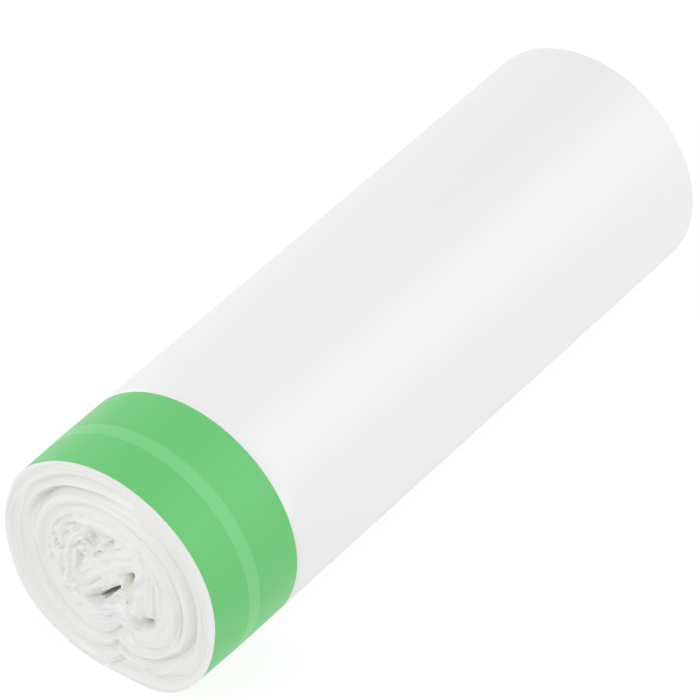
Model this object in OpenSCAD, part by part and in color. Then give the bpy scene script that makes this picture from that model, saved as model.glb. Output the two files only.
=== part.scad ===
// Roll of compostable toilet bags, lying on its side on the small flat that its weight presses.
// The roll runs along X with its mouth end at -X. Z = 0 is the surface that it lies on.

/* [Roll] */
// Diameter of the round part of the roll
roll_d = 70; // [62:1:84]
// Length of the roll over both ends
roll_l = 215; // [140:5:300]
// Height that the roll's own weight presses off the underside
flat_drop = 3.6; // [2:0.2:4.6]
// Radius that blends the flat into the round
flat_blend_r = 22; // [14:1:24]

/* [Winding] */
// Number of wound turns around the folded heart
turns = 4; // [3:1:5]
// Mean width of the folded heart
heart_d = 31; // [27:1:34]
// Air between one turn and the next
turn_gap = 0.5; // [0.3:0.1:0.8]
// Thickness of the outer end of the strip at its very edge
tail_edge = 0.5; // [0.3:0.1:0.8]
// Thickness that the outer end gains before the first turn closes
tail_growth = 1.9; // [1:0.1:3]
// Rounding of the film's edges at both ends of the roll
end_round = 0.8; // [0.4:0.1:0.9]
// Depth of the folded heart behind the rim at both ends
heart_recess = 1.6; // [0:0.2:4]
// How far the turns' edges stand unevenly at the ends
end_waver = 0.5; // [0:0.1:1]

/* [Crease] */
// Height that the pinch under the heart lifts the innermost turn
crease_lift = 7; // [2:0.5:8]
// Angle over which the pinch dies away on its steep side
crease_steep = 11; // [8:1:16]
// Angle over which the pinch dies away on its gentle side
crease_gentle = 16; // [10:1:22]

/* [Band] */
// Width of the green band along the roll
band_w = 32.5; // [26:0.5:60]
// White rim left between the mouth end and the band
band_inset = 1.1; // [1:0.1:4]
// Thickness of the band, let flush into the outer turn
band_t = 0.3; // [0.2:0.05:0.4]
// Width of the paler stripe in the band
stripe_w = 4.3; // [2:0.1:8]
// Distance from the mouth end to the paler stripe
stripe_from_end = 13.6; // [6:0.2:17]
// Thickness of the paler stripe, let flush into the band
stripe_t = 0.15; // [0.1:0.01:0.16]

/* [Hidden] */

film_white = "#f2f2ef";
band_green = "#6ecc78";
stripe_green = "#8edb97";

roll_r = roll_d / 2;
heart_r = heart_d / 2;
mouth_x = -roll_l / 2;
far_x = roll_l / 2;

// The underside: a flat, then an arc of the blend radius on each side, then the round
axis_h = roll_r - flat_drop;
blend_h = axis_h - flat_blend_r;
flat_half = sqrt(pow(roll_r - flat_blend_r, 2) - pow(blend_h, 2));
flat_angle = atan2(flat_half, axis_h);
round_angle = atan2(flat_half, blend_h);

// The winding: the strip's outer end lies at tail_angle, just past the flat
tail_angle = -115;
tail_lead = 90;
tail_run = 70;
last_turn_part = 170;
turn_pitch = (roll_r - heart_r - tail_edge - tail_growth) / turns;
spiral_span = 360 * turns + last_turn_part;
crease_angle = -80;
crease_tip = 3;
crease_power = 0.7;
turn_steps = 60;
crowding = 14;
waver_turn = 37;

// Share of the strip's thickness, and of its rounding, at the shoulders of its crowned edges
shoulder = 0.25;

// The heart's fold: [right, up, thickness] as shares of the least radius left inside the turns
heart_in_r = heart_r - turn_pitch * last_turn_part / 360;
heart_fold = [
    [0.40, 1.02, 0.27], [0.14, 0.88, 0.31], [-0.08, 0.66, 0.32], [-0.26, 0.49, 0.24],
    [-0.41, 0.50, 0.16], [-0.48, 0.68, 0.18], [-0.64, 0.84, 0.22], [-0.83, 0.71, 0.25],
    [-0.94, 0.38, 0.27], [-0.98, 0.00, 0.27], [-0.97, -0.36, 0.22], [-0.82, -0.62, 0.14],
    [-0.63, -0.50, 0.20], [-0.46, -0.24, 0.33], [-0.19, 0.02, 0.41], [0.10, 0.25, 0.41],
    [0.38, 0.51, 0.30], [0.57, 0.63, 0.20], [0.73, 0.46, 0.26], [0.81, 0.12, 0.33],
    [0.83, -0.22, 0.29], [0.80, -0.48, 0.17], [0.66, -0.61, 0.12], [0.51, -0.45, 0.18],
    [0.40, -0.22, 0.24], [0.34, -0.05, 0.14]
];
fold_steps = 3;

// Smooth rise from 0 to 1 as x goes from 0 to 1
function ease(x) = let (t = min(max(x, 0), 1)) t * t * (3 - 2 * t);

// Point at share s of the way from a to b
function between(a, b, s) = a + (b - a) * s;

// Signed angle from direction b to direction a, between -180 and 180
function turn_between(a, b) = (((a - b) % 360) + 540) % 360 - 180;

// Distance from the axis to the outside of the roll in direction a
function outline(a) =
    let (b = abs(turn_between(a, -90)))
    b <= flat_angle ? axis_h / cos(b)
    : b >= round_angle ? roll_r
    : let (along = flat_half * sin(b) + blend_h * cos(b))
      along + sqrt(along * along - pow(flat_half, 2) - pow(blend_h, 2) + pow(flat_blend_r, 2));

// Depth below the outline of the strip's inner face, p degrees of winding from its outer end
function wound_depth(p) =
    tail_edge * ease(p / tail_lead + 1) + tail_growth * ease(p / tail_run)
    + turn_pitch * max(p, 0) / 360;

// The pinch: how much of its lift reaches direction a
function crease(a) =
    let (d = turn_between(a, crease_angle))
    exp(-sqrt(d * d + crease_tip * crease_tip) / (d < 0 ? crease_steep : crease_gentle));

// Distance from the axis to a wound face that lies depth below the outline
function face_r(a, depth) =
    outline(a) - depth - crease_lift * pow(depth / (roll_r - heart_r), crease_power) * crease(a);

// Winding angle of step i, with the steps closer together at the crease
function wind(i) =
    let (t = i * 360 / turn_steps, shift = tail_angle - crease_angle)
    t - crowding * (sin(t + shift) - sin(shift));

// Point [y, z] at distance r from the roll's axis in direction a, seen from the mouth end
function at(r, a) = [-r * cos(a), axis_h + r * sin(a)];

// Outer and inner face of the strip at winding angle p
function wound_rung(p) =
    let (
        a = p + tail_angle,
        air = turn_gap * ease((p - 360) / tail_lead + 1),
        outer = face_r(a, wound_depth(p - 360)) - air,
        inner = face_r(a, wound_depth(p))
    )
    [at(outer, a), at(inner, a)];

// Smooth curve through four neighbours, at share s of the middle stretch
function smooth(a, b, c, d, s) =
    0.5 * (2 * b + (c - a) * s + (2 * a - 5 * b + 4 * c - d) * s * s
    + (3 * b - a - 3 * c + d) * s * s * s);

// Middle and thickness of the strip where the spiral ends, as the heart fold counts them
function as_fold(rung) =
    let (mid = (rung[0] + rung[1]) / 2)
    [-mid[0], mid[1] - axis_h, norm(rung[0] - rung[1])];

// Face pair of the folded strip at its middle m, heading along h
function fold_rung(m, h) =
    let (side = [h[1], -h[0]] / norm([h[0], h[1]]) * m[2] / 2)
    [[-(m[0] + side[0]), axis_h + m[1] + side[1]], [-(m[0] - side[0]), axis_h + m[1] - side[1]]];

spiral_steps = round(turn_steps * spiral_span / 360);
spiral_rungs = [for (i = [0:spiral_steps]) wound_rung(wind(i))];
fold_knots = concat(
    [as_fold(spiral_rungs[spiral_steps - 3]), as_fold(spiral_rungs[spiral_steps])],
    [for (k = heart_fold) k * heart_in_r]
);
knot_count = len(fold_knots);
fold_middles = [
    for (k = [1:knot_count - 2], s = [1:fold_steps])
        smooth(fold_knots[k - 1], fold_knots[k], fold_knots[k + 1],
            fold_knots[min(k + 2, knot_count - 1)], s / fold_steps)
];
fold_count = len(fold_middles);
fold_rungs = [
    for (k = [0:fold_count - 1])
        fold_rung(fold_middles[k],
            fold_middles[min(k + 1, fold_count - 1)] - fold_middles[max(k - 1, 0)])
];
rungs = concat(spiral_rungs, fold_rungs);
rung_count = len(rungs);

// Depth of the film's edge behind the end of the roll at rung k, none on the outer turn
function edge_depth(k) =
    heart_recess * ease((k - turn_steps) / (rung_count - turn_steps))
    + end_waver * ease(k / turn_steps - 1) * (1 + sin(k * waver_turn)) / 2;

// Rounding of the film's edge at rung k, fuller on the turns inside the outer one
function edge_round(k) = end_round * (1 + ease(k / turn_steps - 1));

// Closed loop around the strip at rung k: crowned mouth edge, inner face, crowned far edge, outer face
function strip_loop(k) =
    let (
        o = rungs[k][0],
        n = rungs[k][1],
        floor_of_recess = between(o, n, band_t / norm(n - o)),
        m = mouth_x + edge_depth(k),
        f = far_x - edge_depth(k),
        r = edge_round(k),
        b0 = m + band_inset + r - end_round,
        b1 = mouth_x + band_inset + band_w
    )
    [
        [m, between(o, n, 0.5)], [m + r * shoulder, between(n, o, shoulder)], [m + r, n],
        [f - r, n], [f - r * shoulder, between(n, o, shoulder)], [f, between(o, n, 0.5)],
        [f - r * shoulder, between(o, n, shoulder)], [f - r, o],
        [b1, o], [b1, floor_of_recess], [b0, floor_of_recess], [b0, o],
        [m + r, o], [m + r * shoulder, between(o, n, shoulder)]
    ];

// Skin over a row of loops, open at its ends
function skin(loops, size, closed) =
    [for (k = [0:loops - (closed ? 1 : 2)], j = [0:size - 1])
        let (a = k * size, b = (k + 1) % loops * size, i = (j + 1) % size)
        [a + j, a + i, b + i, b + j]];

// Solid through a row of equal loops of [x, [y, z]] points, with flat ends or closed on itself
module loft(loops, closed = false) {
    size = len(loops[0]);
    last = (len(loops) - 1) * size;
    sides = skin(len(loops), size, closed);
    ends = closed ? [] : [
        [for (j = [0:size - 1]) (size - j) % size],
        [for (j = [0:size - 1]) last + j]
    ];
    polyhedron([for (loop = loops, p = loop) [p[0], p[1][0], p[1][1]]], concat(sides, ends));
}

// Point [y, z] under the outline at step i, at the given depth
function under_outline(i, depth) =
    let (a = wind(i) + tail_angle)
    at(outline(a) - depth, a);

// Section of the band at step i, with the groove that holds the stripe
function band_loop(i) =
    let (
        x0 = mouth_x + band_inset,
        x1 = x0 + band_w,
        s0 = mouth_x + stripe_from_end,
        s1 = s0 + stripe_w,
        top = under_outline(i, 0),
        groove = under_outline(i, stripe_t),
        back = under_outline(i, band_t)
    )
    [[x0, top], [x0, back], [x1, back], [x1, top], [s1, top], [s1, groove], [s0, groove], [s0, top]];

// Section of the stripe at step i
function stripe_loop(i) =
    let (
        s0 = mouth_x + stripe_from_end,
        s1 = s0 + stripe_w,
        top = under_outline(i, 0),
        back = under_outline(i, stripe_t)
    )
    [[s0, top], [s0, back], [s1, back], [s1, top]];

module bag_roll() {
    color(film_white) loft([for (k = [0:rung_count - 1]) strip_loop(k)]);
}

module end_band() {
    color(band_green) loft([for (i = [0:turn_steps - 1]) band_loop(i)], closed = true);
}

module band_stripe() {
    color(stripe_green) loft([for (i = [0:turn_steps - 1]) stripe_loop(i)], closed = true);
}

bag_roll();
end_band();
band_stripe();
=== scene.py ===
"""Look of a roll of compostable toilet bags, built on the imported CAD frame.

The roll lies along X with its banded mouth end at -X. Positions on the mouth are given as
(right, up) in millimetres as seen from the mouth end, with the roll's axis at (0, 0): right is
-Y and up is +Z.
"""

import logging
import math
from dataclasses import dataclass
from enum import Enum

import bpy
import numpy as np
from mathutils import Matrix, Vector


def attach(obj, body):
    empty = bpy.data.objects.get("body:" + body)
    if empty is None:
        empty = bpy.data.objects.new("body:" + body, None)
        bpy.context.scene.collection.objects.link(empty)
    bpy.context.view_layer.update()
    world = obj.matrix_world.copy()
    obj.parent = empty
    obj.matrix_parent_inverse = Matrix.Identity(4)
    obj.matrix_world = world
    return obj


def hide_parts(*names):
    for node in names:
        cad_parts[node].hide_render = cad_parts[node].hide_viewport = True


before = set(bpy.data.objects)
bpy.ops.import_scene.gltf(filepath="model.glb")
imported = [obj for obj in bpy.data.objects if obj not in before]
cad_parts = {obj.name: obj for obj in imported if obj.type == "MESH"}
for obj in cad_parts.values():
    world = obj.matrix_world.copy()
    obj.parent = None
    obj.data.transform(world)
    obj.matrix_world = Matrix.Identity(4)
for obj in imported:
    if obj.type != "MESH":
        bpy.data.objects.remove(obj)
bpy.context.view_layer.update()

log = logging.getLogger("bag_roll")

MM = 0.001
NOISE_CELLS = 64
SHARP_DEGREES = 60.0
TURN = 360.0

# A table of lengths and angles, one tuple a row
Rows = tuple[tuple[float, ...], ...]


class Slot(Enum):
    """Names of the record's material slots."""

    BAG_FILM = "bag_film"
    BAND_FILM = "band_film"
    STRIPE_FILM = "stripe_film"


def linear(hex_colour: str) -> tuple[float, float, float, float]:
    """Turn an sRGB colour such as #f2f2ef into linear light.

    Args:
        hex_colour: The colour as # and six hexadecimal digits.

    Returns:
        Red, green and blue in linear light, and 1 for alpha. A channel c up to 0.04045 is
        c / 12.92, and above that ((c + 0.055) / 1.055) to the power 2.4.
    """
    channels = np.array([int(hex_colour[i:i + 2], 16) for i in (1, 3, 5)]) / 255.0
    light = np.where(channels <= 0.04045, channels / 12.92, ((channels + 0.055) / 1.055) ** 2.4)
    return (*light.tolist(), 1.0)


def grey(level: float) -> tuple[float, float, float, float]:
    """Grey of a level in linear light."""
    return (level, level, level, 1.0)


def add_node(
    tree: bpy.types.NodeTree, kind: str, *numbered: object, **values: object
) -> bpy.types.Node:
    """Add a shader node and set its options and inputs.

    Args:
        tree: Node tree that gets the node.
        kind: Type of the node, without the leading ShaderNode.
        *numbered: Values of the first inputs, in order.
        **values: Options of the node, or inputs by name with spaces as underscores. An input
            whose value is a socket is linked to it, and any other is set.

    Returns:
        The new node.
    """
    node = tree.nodes.new("ShaderNode" + kind)
    inputs = dict(enumerate(numbered))
    for name, value in values.items():
        if hasattr(node, name):
            setattr(node, name, value)
        else:
            inputs[name.replace("_", " ")] = value
    for name, value in inputs.items():
        if isinstance(value, bpy.types.NodeSocket):
            tree.links.new(value, node.inputs[name])
        else:
            node.inputs[name].default_value = value
    return node


def empty_tree(owner: bpy.types.Material | bpy.types.World) -> bpy.types.NodeTree:
    """Give a material or a world an empty node tree.

    Args:
        owner: The material or world.

    Returns:
        Its node tree, without nodes.
    """
    owner.use_nodes = True
    owner.node_tree.nodes.clear()
    return owner.node_tree


def ease(x: np.ndarray | float) -> np.ndarray:
    """Rise smoothly from 0 to 1 as x goes from 0 to 1, as three x squared less two x cubed."""
    t = np.clip(x, 0.0, 1.0)
    return t * t * (3.0 - 2.0 * t)


def curve_through(at: np.ndarray, values: np.ndarray, where: np.ndarray) -> np.ndarray:
    """Follow a smooth curve through a row of values.

    Each stretch is a cubic that leaves and reaches its ends with the mean slope of the
    stretches beside them.

    Args:
        at: Rising positions of the values, of shape (n,).
        values: Values there, of shape (n,) or (n, m).
        where: Positions to read the curve at, of any shape.

    Returns:
        The values at those positions, with m as a last axis where the values have it.
    """
    at = np.asarray(at, float)
    asked = np.asarray(where, float).ravel()
    rows = np.asarray(values, float).reshape(len(at), -1)
    rise = np.diff(rows, axis=0) / np.diff(at)[:, None]
    slope = np.vstack([rise[:1], (rise[1:] + rise[:-1]) / 2.0, rise[-1:]])
    k = np.clip(np.searchsorted(at, asked, side="right") - 1, 0, len(at) - 2)
    run = (at[k + 1] - at[k])[:, None]
    t = (asked - at[k])[:, None] / run
    found = (
        rows[k] * (1.0 + 2.0 * t) * (1.0 - t) ** 2
        + slope[k] * run * t * (1.0 - t) ** 2
        + rows[k + 1] * t * t * (3.0 - 2.0 * t)
        - slope[k + 1] * run * t * t * (1.0 - t)
    )
    return found.reshape(np.shape(where) + np.shape(values)[1:])


def value_noise(across: np.ndarray, along: np.ndarray, seed: int) -> np.ndarray:
    """Read smooth noise between -1 and 1 that repeats every NOISE_CELLS cells.

    Random values stand at whole numbers of both coordinates, and the eased share of the way
    between them blends the four around each point.

    Args:
        across: First coordinate, in cells.
        along: Second coordinate, in cells.
        seed: Seed of the random values.

    Returns:
        The noise, of the coordinates' shape.
    """
    table = np.random.default_rng(seed).uniform(-1.0, 1.0, (NOISE_CELLS, NOISE_CELLS))
    i = np.floor(across).astype(int)
    j = np.floor(along).astype(int)
    s = ease(across - i)
    t = ease(along - j)
    next_i = (i + 1) % NOISE_CELLS
    next_j = (j + 1) % NOISE_CELLS
    i = i % NOISE_CELLS
    j = j % NOISE_CELLS
    low = table[i, j] * (1.0 - s) + table[next_i, j] * s
    high = table[i, next_j] * (1.0 - s) + table[next_i, next_j] * s
    return low * (1.0 - t) + high * t


def spot_surface(spots: np.ndarray, places: np.ndarray) -> np.ndarray:
    """Bend a thin plate through spot depths and read it elsewhere.

    The plate is a sloping plane plus, for each spot, a weight times d squared times the
    logarithm of d, with d the distance from the spot.

    Args:
        spots: Rows of right, up and depth.
        places: Places to read, of shape (..., 2).

    Returns:
        Depth of the plate at each place.
    """
    def bulge(square: np.ndarray) -> np.ndarray:
        """Half of the squared distance times its logarithm."""
        return 0.5 * square * np.log(square + 1e-9)

    knots = spots[:, :2]
    count = len(spots)
    plane = np.hstack([np.ones((count, 1)), knots])
    system = np.zeros((count + 3, count + 3))
    system[:count, :count] = bulge(((knots[:, None] - knots) ** 2).sum(-1))
    system[:count, count:] = plane
    system[count:, :count] = plane.T
    weights = np.linalg.solve(system, np.concatenate([spots[:, 2], np.zeros(3)]))
    points = places.reshape(-1, 2)
    near = ((points[:, None] - knots) ** 2).sum(-1)
    depth = bulge(near) @ weights[:count] + weights[count] + points @ weights[count + 1:]
    return depth.reshape(places.shape[:-1])


def skin_faces(loops: int, size: int, closed: bool) -> list[list[int]]:
    """List the four-sided faces over a row of equal loops, and the two ends if it is open.

    Args:
        loops: Number of loops.
        size: Number of points in a loop.
        closed: Whether the last loop joins the first.

    Returns:
        Vertex numbers of each face, turned so that the faces point outwards.
    """
    k = np.arange(loops if closed else loops - 1)[:, None]
    j = np.arange(size)[None, :]
    here = k * size
    there = (k + 1) % loops * size
    turn = (j + 1) % size
    quads = np.stack([here + j, there + j, there + turn, here + turn], axis=-1).reshape(-1, 4)
    faces = quads.tolist()
    if not closed:
        faces.append(list(range(size)))
        faces.append(list(range(loops * size - 1, (loops - 1) * size - 1, -1)))
    return faces


def make_piece(
    name: str,
    points: np.ndarray,
    faces: list[list[int]],
    material: bpy.types.Material,
    replaced: str,
) -> bpy.types.Object:
    """Make a smooth mesh piece of the roll that stands for a CAD node.

    Args:
        name: Name of the piece.
        points: Vertices in millimetres, of shape (n, 3).
        faces: Vertex numbers of each face.
        material: Finish of the piece.
        replaced: CAD node that the piece stands for.

    Returns:
        The new object, at the origin, riding on the roll's body.
    """
    mesh = bpy.data.meshes.new(name)
    mesh.from_pydata((points * MM).tolist(), [], faces)
    mesh.polygons.foreach_set("use_smooth", np.ones(len(mesh.polygons), bool))
    mesh.materials.append(material)
    mesh.set_sharp_from_angle(angle=math.radians(SHARP_DEGREES))
    mesh.update()
    piece = bpy.data.objects.new(name, mesh)
    bpy.context.scene.collection.objects.link(piece)
    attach(piece, "root")
    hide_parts(replaced)
    log.info("%s: %d vertices, %d faces", name, len(mesh.vertices), len(mesh.polygons))
    return piece


def add_layer(piece: bpy.types.Object, name: str, values: np.ndarray) -> None:
    """Store one number per vertex on a piece for its material to read.

    Args:
        piece: The mesh object.
        name: Name of the attribute.
        values: One value per vertex.
    """
    layer = piece.data.attributes.new(name, "FLOAT", "POINT")
    layer.data.foreach_set("value", values.astype(np.float32).ravel())


@dataclass(frozen=True)
class Creases:
    """Lengthwise creases that thin film takes on when it is wound up."""

    drawn_out: float
    detail: float
    strength: float
    depth_mm: float
    size_mm: float = 9.0
    roughness: float = 0.45

    def add(
        self, tree: bpy.types.NodeTree
    ) -> tuple[bpy.types.NodeSocket, bpy.types.NodeSocket]:
        """Draw the creases as noise on Object coordinates, drawn out along the roll.

        Args:
            tree: Node tree to add to.

        Returns:
            Sockets of the noise and of the bumped normal.
        """
        place = add_node(tree, "TexCoord").outputs["Object"]
        drawn = add_node(tree, "Mapping", Vector=place, Scale=(self.drawn_out, 1.0, 1.0))
        noise = add_node(
            tree, "TexNoise", Vector=drawn.outputs["Vector"], Scale=1.0 / (self.size_mm * MM),
            Detail=self.detail, Roughness=self.roughness,
        ).outputs["Fac"]
        bump = add_node(
            tree, "Bump", Height=noise, Strength=self.strength, Distance=self.depth_mm * MM,
        )
        return noise, bump.outputs["Normal"]


@dataclass(frozen=True)
class WhiteFilm:
    """White starch-blend film, blown and wound: soft satin, with painted shade in its folds."""

    colour: str = "#f5f5f5"
    # Colour of the painted shade in the folds and on the inner walls
    painted_fold_shade: str = "#e8e8df"
    roughness: float = 0.4
    creases: Creases = Creases(drawn_out=0.12, detail=3.0, strength=0.35, depth_mm=0.35)
    # The real layer edges, 0.02 mm apart, are too fine to show, so they are drawn coarser
    layer_mm: float = 0.7
    layer_depth_mm: float = 0.12

    def material(self) -> bpy.types.Material:
        """Build the finish.

        Returns:
            A material that reads Object coordinates on the body, the piece's strip attributes on
            the film's edges, and its shade share, which paints shade into the colour of the folds.
        """
        made = bpy.data.materials.new("starch_film_white")
        tree = empty_tree(made)
        _, body_bump = self.creases.add(tree)
        along, across, edge, shade = (
            add_node(tree, "Attribute", attribute_name=name).outputs["Fac"]
            for name in ("strip_along", "strip_across", "edge_share", "painted_fold_shade")
        )
        # Layer edges: noise drawn out along the strip, read from the strip's own coordinates
        strip = add_node(tree, "CombineXYZ", along, across).outputs["Vector"]
        layers = add_node(tree, "Mapping", Vector=strip, Scale=(0.12, 1.0 / self.layer_mm, 1.0))
        layer = add_node(
            tree, "TexNoise", Vector=layers.outputs["Vector"], Scale=1.0, Detail=3.0,
            Roughness=0.5,
        ).outputs["Fac"]
        height = add_node(tree, "Math", layer, edge, operation="MULTIPLY").outputs["Value"]
        bump = add_node(
            tree, "Bump", Height=height, Strength=1.0, Distance=self.layer_depth_mm * MM,
            Normal=body_bump,
        ).outputs["Normal"]
        # Painted shade: the film's colour darkens towards the shade colour by the piece's shade
        # share
        tint = add_node(
            tree, "Mix", data_type="RGBA", Factor=shade, A=linear(self.colour),
            B=linear(self.painted_fold_shade),
        ).outputs["Result"]
        shader = add_node(
            tree, "BsdfPrincipled", Base_Color=tint, Roughness=self.roughness, IOR=1.5,
            Sheen_Weight=0.4, Specular_IOR_Level=0.6, Normal=bump,
        )
        add_node(tree, "OutputMaterial", Surface=shader.outputs["BSDF"])
        return made


@dataclass(frozen=True)
class TintedFilm:
    """Green film, blown: smooth satin, with the same creases as the roll under it."""

    name: str
    colour: str
    light_colour: str
    roughness: float = 0.4
    creases: Creases = Creases(drawn_out=0.2, detail=2.0, strength=0.3, depth_mm=0.2)

    def material(self) -> bpy.types.Material:
        """Build the finish.

        Returns:
            A material that reads Object coordinates.
        """
        made = bpy.data.materials.new(self.name)
        tree = empty_tree(made)
        crease, bump = self.creases.add(tree)
        tint = add_node(
            tree, "Mix", data_type="RGBA", Factor=crease, A=linear(self.colour),
            B=linear(self.light_colour),
        ).outputs["Result"]
        shader = add_node(
            tree, "BsdfPrincipled", Base_Color=tint, Roughness=self.roughness, IOR=1.45,
            Specular_IOR_Level=0.35, Normal=bump,
        )
        add_node(tree, "OutputMaterial", Surface=shader.outputs["BSDF"])
        return made


@dataclass(frozen=True)
class RollShape:
    """Outside of the roll, as the CAD part gives it, with the mouth's own slight tuck."""

    roll_r: float = 35.0
    half_length: float = 107.5
    flat_drop: float = 3.6
    blend_r: float = 22.0
    tuck_reach: float = 18.0
    # Direction on the mouth, and how far the rim is drawn in there
    tuck: Rows = (
        (-130, 2.4), (-120, 2.5), (-110, 1.9), (-100, 0.8), (-88, 0), (-60, 0), (-45, 0.2),
        (-30, 0.4), (-15, 0.9), (-5, 1), (10, 0.7), (30, 0.4), (60, 0.25), (90, 0.1),
        (120, 0.15), (140, 0.2), (155, 1), (170, 1.6), (185, 1.9), (200, 2.1), (215, 1.9),
        (230, 2.4), (240, 2.5),
    )

    @property
    def axis_h(self) -> float:
        """Height of the roll's axis above the surface that it lies on."""
        return self.roll_r - self.flat_drop

    def outline(self, angle: np.ndarray) -> np.ndarray:
        """Distance from the axis to the outside of the body.

        Near straight down it is the axis height over the cosine of the angle from there,
        on each side of the flat it lies on an arc of the blend radius, and elsewhere it is
        the roll's radius.

        Args:
            angle: Directions in degrees, 0 to the right and 90 up.

        Returns:
            Distances in millimetres.
        """
        blend_h = self.axis_h - self.blend_r
        flat_half = math.sqrt((self.roll_r - self.blend_r) ** 2 - blend_h ** 2)
        down = np.abs((angle + 0.75 * TURN) % TURN - TURN / 2.0)
        b = np.radians(down)
        along = flat_half * np.sin(b) + blend_h * np.cos(b)
        inside = along ** 2 - flat_half ** 2 - blend_h ** 2 + self.blend_r ** 2
        arc = along + np.sqrt(np.maximum(inside, 0.0))
        flat = self.axis_h / np.maximum(np.cos(b), 0.1)
        flat_angle = math.degrees(math.atan2(flat_half, self.axis_h))
        round_angle = math.degrees(math.atan2(flat_half, blend_h))
        return np.where(down <= flat_angle, flat, np.where(down >= round_angle, self.roll_r, arc))

    def tucked(self, angle: np.ndarray, depth: np.ndarray | float) -> np.ndarray:
        """Distance from the axis to the outside, depth millimetres behind the mouth.

        Args:
            angle: Directions in degrees.
            depth: Distance behind the mouth.

        Returns:
            The outline less the tuck, which eases away over its reach.
        """
        knots = np.array(self.tuck)
        around = (angle - knots[0, 0]) % TURN + knots[0, 0]
        drawn = np.maximum(curve_through(knots[:, 0], knots[:, 1], around), 0.0)
        return self.outline(angle) - drawn * (1.0 - ease(depth / self.tuck_reach))

    def place(self, x: np.ndarray, right: np.ndarray, up: np.ndarray) -> np.ndarray:
        """Points in the row frame from their distance along X and their place on the mouth."""
        return np.stack([x, -right, self.axis_h + up], axis=-1)


@dataclass(frozen=True)
class Rungs:
    """Sections of the strip, a row each: its walls on the mouth, and where along it they lie.

    The walls are of shape (n, 1, 2), and all else is of shape (n, 1): groove depths, winding
    angle, the outer wall's direction, share of the heart and length so far.
    """

    outer: np.ndarray
    inner: np.ndarray
    outer_groove: np.ndarray
    inner_groove: np.ndarray
    wound: np.ndarray
    angle: np.ndarray
    heart: np.ndarray
    length: np.ndarray


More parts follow.
